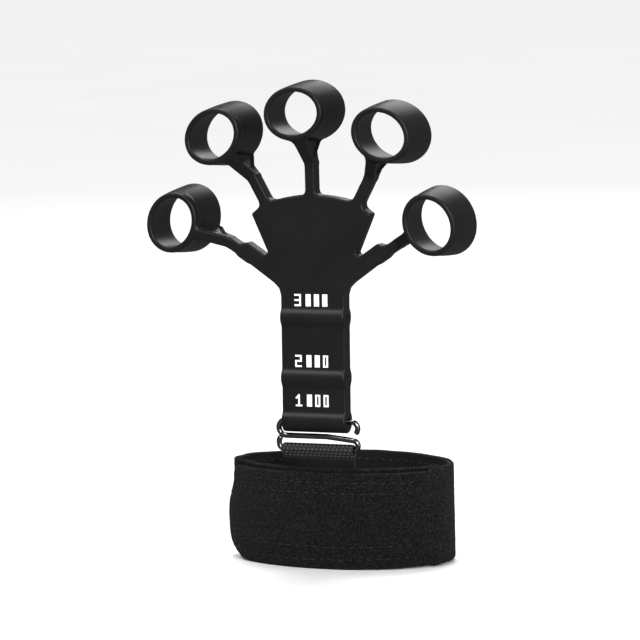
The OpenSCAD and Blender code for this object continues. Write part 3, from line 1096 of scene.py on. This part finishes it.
def peels(piece, *nodes):
    """The piece is part of the flap: the flap's nodes that it replaces are hidden, and its place is
    baked into its mesh.
    """
    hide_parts(*nodes)
    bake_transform(piece)


def strip_layers(name, path, edges, face_rows, lining_rows, rough, seed, flare=0.0):
    """The strip's pile, foam and lining along a path."""
    face = cloth_layer(f"{name}_pile", path, FACE_SECTION, edges, face_rows, rough, seed,
                       "loop_pile", PILE, flare)
    core = cloth_layer(f"{name}_foam", path, core_section(), edges, [], 0.0, seed + 10,
                       "foam", FOAM, flare)
    lining = cloth_layer(f"{name}_liner", path, LINING_SECTION, edges, lining_rows,
                         0.02, seed + 20, "lining", LINING, flare)
    return face, core, lining


def band():
    path = Path(INNER_START, FLAP_START - 0.2, 0.5)
    layers = strip_layers("band", path, band_edges, [], LINING_ROWS, 0.06, 41, FLARE)
    back = Path(RAMP_END - 2, 4, 0.5)
    thread = stitches("band_thread", back, STRIP_T, LINING_ROWS, band_edges, -1, 2, 2, 0.22)
    for piece, part in zip((*layers, thread), PARTS):
        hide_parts(f"band_{part}")
        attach(piece, "band")


def flap():
    path = Path(FLAP_START - 0.2, FLAP_END, 0.45)
    layers = strip_layers("flap", path, flap_edges, FLAP_ROWS, [], 0.08, 71)
    thread = stitches("flap_thread", path, 0.0, FLAP_ROWS, flap_edges, 1, 7, 5, 0.12)
    for piece, part in zip((*layers, thread), PARTS):
        peels(piece, f"flap_{part}")


def hook_patch():
    """The tape inside the flap's end: a thin base and rows of small bent hooks."""
    path = Path(-118, -160, 0.6)
    low, high = 7.0, FLAP_TOP - 7.0
    base_depth, top_depth = STRIP_T + 0.03, STRIP_T + 0.3
    heights = np.linspace(low, high, 12)
    ring = [(base_depth, h) for h in heights] + [(top_depth, h) for h in heights[::-1]]
    depth = np.array([p[0] for p in ring])[None, :]
    height = np.tile(np.array([p[1] for p in ring]), (len(path.turns), 1))
    turns = path.turns[:, None]
    plan = Path.at(turns, depth - sway(turns, height))
    rings = np.concatenate([plan, height[..., None]], -1)
    parts = [swept(rings)]
    pitch, lean = 1.15, 0.28
    shape = np.array([[0, 0], [0.02, 0.22], [0.1, 0.4], [0.24, 0.46], [0.34, 0.36]])
    radius = np.array([0.13, 0.1, 0.09, 0.08, 0.04])
    for row, h in enumerate(np.arange(low + 0.7, high - 0.5, pitch)):
        for s in np.arange(0.8 + (row % 2) * pitch / 2, path.length - 0.8, pitch):
            turn = np.array(np.interp(s, path.along, path.turns))
            inset = top_depth - sway(turn, h)
            foot = Path.at(turn, inset)
            root = np.append(foot, h)
            inwards = unit(np.append(Path.at(turn, inset + 1) - foot, 0))
            up = np.array([0, 0, 1.0]) * (1 if row % 2 else -1)
            middle = root + shape[:, :1] * up + shape[:, 1:] * inwards
            parts.append(tube(middle, radius, np.cross(inwards, up), up + lean * inwards,
                              [45, 135, 225, 315]))
    points, faces = joined(parts)
    piece = add_piece("hook_tape", points, faces, "hook_tape", HOOK_TAPE)
    peels(piece, "hook_patch")


band()
flap()
hook_patch()


# ---------- Webbing ----------

WEBBING_T = 1.15
BAR_Z = LOWER_BAR_Z
FOLD_R = FOLD_TOP - BAR_Z - WEBBING_T / 2


def tail_middle(x):
    """How far behind the hook the sewn end lies, on the inside of the band's front."""
    inset = LAYER_STEP + STRIP_T
    share = np.clip(((x - BAND_X) / (BAND_HALF_W - inset)) ** 2, 0, 0.95)
    wall = BAND_Y - (BAND_HALF_D - inset) * np.sqrt(1 - share)
    return wall + WEBBING_T + 0.12 - WEBBING_Y


def webbing_profile():
    """The doubled webbing's middle line: (y, z, share of the band's curve)."""
    gap = WEBBING_T / 2 + 0.03
    front = [[-gap, TAIL_LOW], [-gap, WEBBING_ROOT - 0.4], [-FOLD_R, BAR_Z]]
    over = [[FOLD_R * math.cos(t), BAR_Z + FOLD_R * math.sin(t)]
            for t in np.radians(np.linspace(180, 0, 24))]
    back = [[FOLD_R, BAR_Z], [gap, WEBBING_ROOT - 0.4], [gap, TAIL_LOW]]
    return eased(evenly(front + over[1:-1] + back, 0.2), 4)


def weave(across, along, from_fold):
    """Height of the weave: fine lengthwise ribs, with coarse slanted picks at the fold."""
    ribs = np.abs(np.sin(np.pi * across / 0.8))
    picks = 0.5 + 0.5 * np.sin(2 * np.pi * along / 0.62 + np.pi * np.floor(across / 0.8))
    fine = 0.04 * ribs + 0.08 * picks * ribs
    row = np.floor(along / 0.95)
    brick = np.abs(np.sin(np.pi * (across + 0.6 * along + 0.5 * row) / 1.45))
    rows = np.abs(np.sin(np.pi * along / 0.95))
    coarse = 0.2 * (brick * rows) ** 0.75
    share = smooth_step(from_fold, 5.6, 4.2)
    return fine * (1 - share) + coarse * share


def webbing():
    profile = webbing_profile()
    along = distances(profile)
    ahead = unit(np.gradient(profile, axis=0))
    out = np.stack([-ahead[:, 1], ahead[:, 0]], 1)
    half = WEBBING_W / 2
    edge = WEBBING_T / 2
    flat = np.arange(-half + edge, half - edge + 0.1, 0.2)
    turns = np.radians(np.linspace(90, -90, 8)[1:-1])
    side = np.stack([half - edge + edge * np.cos(turns), edge * np.sin(turns)], 1)
    outer = np.stack([flat, np.full(len(flat), edge)], 1)
    section = np.concatenate([outer, side, outer[::-1] * [1, -1], side[::-1] * [-1, 1]])
    from_fold = np.abs(along - along[-1] / 2)
    x, thick = section[:, 0][None, :], section[:, 1][None, :]
    relief = weave(x + 20, along[:, None], from_fold[:, None])
    is_flat = (np.abs(np.abs(thick) - edge) < 1e-6) & (np.abs(x) < half - edge - 0.2)
    thick = thick + np.where(is_flat, np.sign(thick) * (relief - 0.08), 0)
    y = profile[:, :1] + out[:, :1] * thick
    z = profile[:, 1:] + out[:, 1:] * thick
    sunk = smooth_step(z, BAR_Z, WEBBING_ROOT - 2.5)
    x_all = np.tile(x, (len(profile), 1)) * (1 - 0.004 * sunk)
    y = y + sunk * tail_middle(WEBBING_X + x_all)
    rings = np.stack([WEBBING_X + x_all, WEBBING_Y + y, z], -1)
    points, faces = swept(rings)
    piece = add_piece("webbing_strap", points, faces, "webbing", WEBBING, sharp_deg=80)
    set_cloth(piece, np.stack([x_all + 20, np.tile(along[:, None], (1, x.shape[1])),
                               0 * x_all], -1))
    # The weave's height is stored to paint the webbing's colour: painted highlight on the crests,
    # painted shade in the gaps.
    painted_weave_shading = piece.data.attributes.new("painted_weave_shading", "FLOAT", "POINT")
    painted_weave_shading.data.foreach_set("value", np.asarray(relief / 0.2, np.float32).ravel())
    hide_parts("webbing_loop", "webbing_tail")
    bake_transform(piece)


def webbing_seam():
    """A box of stitches through the webbing's sewn end, on the inside of the band."""
    parts = []
    pitch, length, thread_r = 2.4, 1.6, 0.19
    left, right = -WEBBING_W / 2 + 2.2, WEBBING_W / 2 - 2.2
    top, bottom = WEBBING_ROOT - 2.4, TAIL_LOW + 2.0
    runs = [((left, top), (right, top)), ((left, bottom), (right, bottom)),
            ((left, bottom), (left, top)), ((right, bottom), (right, top)),
            ((left, bottom), (right, top)), ((left, top), (right, bottom))]
    shares = STITCH_SHARES
    for (x0, z0), (x1, z1) in runs:
        total = math.hypot(x1 - x0, z1 - z0)
        run = unit([x1 - x0, z1 - z0])
        for s in np.arange(pitch / 2, total, pitch):
            x = x0 + run[0] * (s + shares * length)
            z = z0 + run[1] * (s + shares * length)
            proud = 0.16 - STITCH_BEND * shares**2
            y = tail_middle(WEBBING_X + x) + WEBBING_T + 0.02 + proud
            middle = np.stack([WEBBING_X + x, WEBBING_Y + y, z], 1)
            parts.append(stitch(middle, thread_r, [-run[1], 0, run[0]], [0, 1, 0]))
    points, faces = joined(parts)
    piece = add_piece("webbing_thread", points, faces, "thread", THREAD)
    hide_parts("webbing_stitching")
    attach(piece, "band")


webbing()
webbing_seam()


# ---------- Floor, light and camera ----------

def floor():
    n = Nodes("studio_floor")
    place = n.place()
    mottle = n.noise(place, 3, 2)
    colour = n.ramp(mottle, [(0.3, grey(0.86)), (0.7, grey(0.88))])
    material = n.finish(Base_Color=colour, Roughness=0.9, IOR=1.3)
    half = 20.0
    mesh = bpy.data.meshes.new("floor")
    corners = [(-half, -half, 0), (half, -half, 0), (half, half, 0), (-half, half, 0)]
    mesh.from_pydata(corners, [], [(0, 1, 2, 3)])
    mesh.materials.append(material)
    piece = bpy.data.objects.new("floor", mesh)
    bpy.context.scene.collection.objects.link(piece)
    piece.visible_glossy = False


def soft_box(name, place, aim, size, power):
    light = bpy.data.lights.new(name, "AREA")
    light.shape = "RECTANGLE"
    light.size, light.size_y = size
    light.energy = power
    lamp = bpy.data.objects.new(name, light)
    lamp.location = place
    lamp.rotation_euler = (Vector(aim) - Vector(place)).to_track_quat("-Z", "Y").to_euler()
    bpy.context.scene.collection.objects.link(lamp)


def overhead_sun(strength, elevation, azimuth, softness):
    light = bpy.data.lights.new("overhead", "SUN")
    light.energy = strength
    light.angle = math.radians(softness)
    lamp = bpy.data.objects.new("overhead", light)
    e, a = math.radians(elevation), math.radians(azimuth)
    back = Vector((math.sin(a) * math.cos(e), -math.cos(a) * math.cos(e), math.sin(e)))
    lamp.rotation_euler = (-back).to_track_quat("-Z", "Y").to_euler()
    bpy.context.scene.collection.objects.link(lamp)


def world(strength):
    made = bpy.data.worlds.new("studio")
    made.use_nodes = True
    background = made.node_tree.nodes["Background"]
    background.inputs["Color"].default_value = (1, 1, 1, 1)
    background.inputs["Strength"].default_value = strength
    bpy.context.scene.world = made


def camera():
    """The eye stands a little to the right and above, with a slight roll."""
    azimuth, elevation, roll = math.radians(21.5), math.radians(7), math.radians(-1.5)
    distance, lens = 0.975, 168.75
    target = Vector(((HAND[0] + 2.45) * MM, (HAND[1] - 2.6) * MM, 81.7 * MM))
    back = Vector((math.sin(azimuth) * math.cos(elevation),
                   -math.cos(azimuth) * math.cos(elevation), math.sin(elevation)))
    data = bpy.data.cameras.new("camera")
    data.lens, data.sensor_width = lens, 36
    eye = bpy.data.objects.new("camera", data)
    level = Vector((math.cos(azimuth), math.sin(azimuth), 0))
    right = math.cos(roll) * level + math.sin(roll) * back.cross(level)
    up = back.cross(right)
    turn = Matrix((right, up, back)).transposed().to_4x4()
    eye.matrix_world = Matrix.Translation(target + back * distance) @ turn
    bpy.context.scene.collection.objects.link(eye)
    bpy.context.scene.camera = eye


bpy.context.scene.view_settings.view_transform = "Standard"
floor()
world(0.16)
overhead_sun(2.9, 74, 200, 25)
soft_box("back_box", (-0.2, 1.3, 0.62), (0, 0, 0.13), (0.45, 0.3), 1.8)
soft_box("top_box", (-0.35, -0.45, 0.85), (0, 0, 0.08), (0.6, 0.35), 4.5)
soft_box("right_box", (0.85, -0.42, 0.35), (0, 0, 0.1), (0.16, 0.7), 2.5)
soft_box("front_box", (0.55, -0.9, 0.5), (0, 0, 0.08), (0.4, 0.4), 9)
camera()
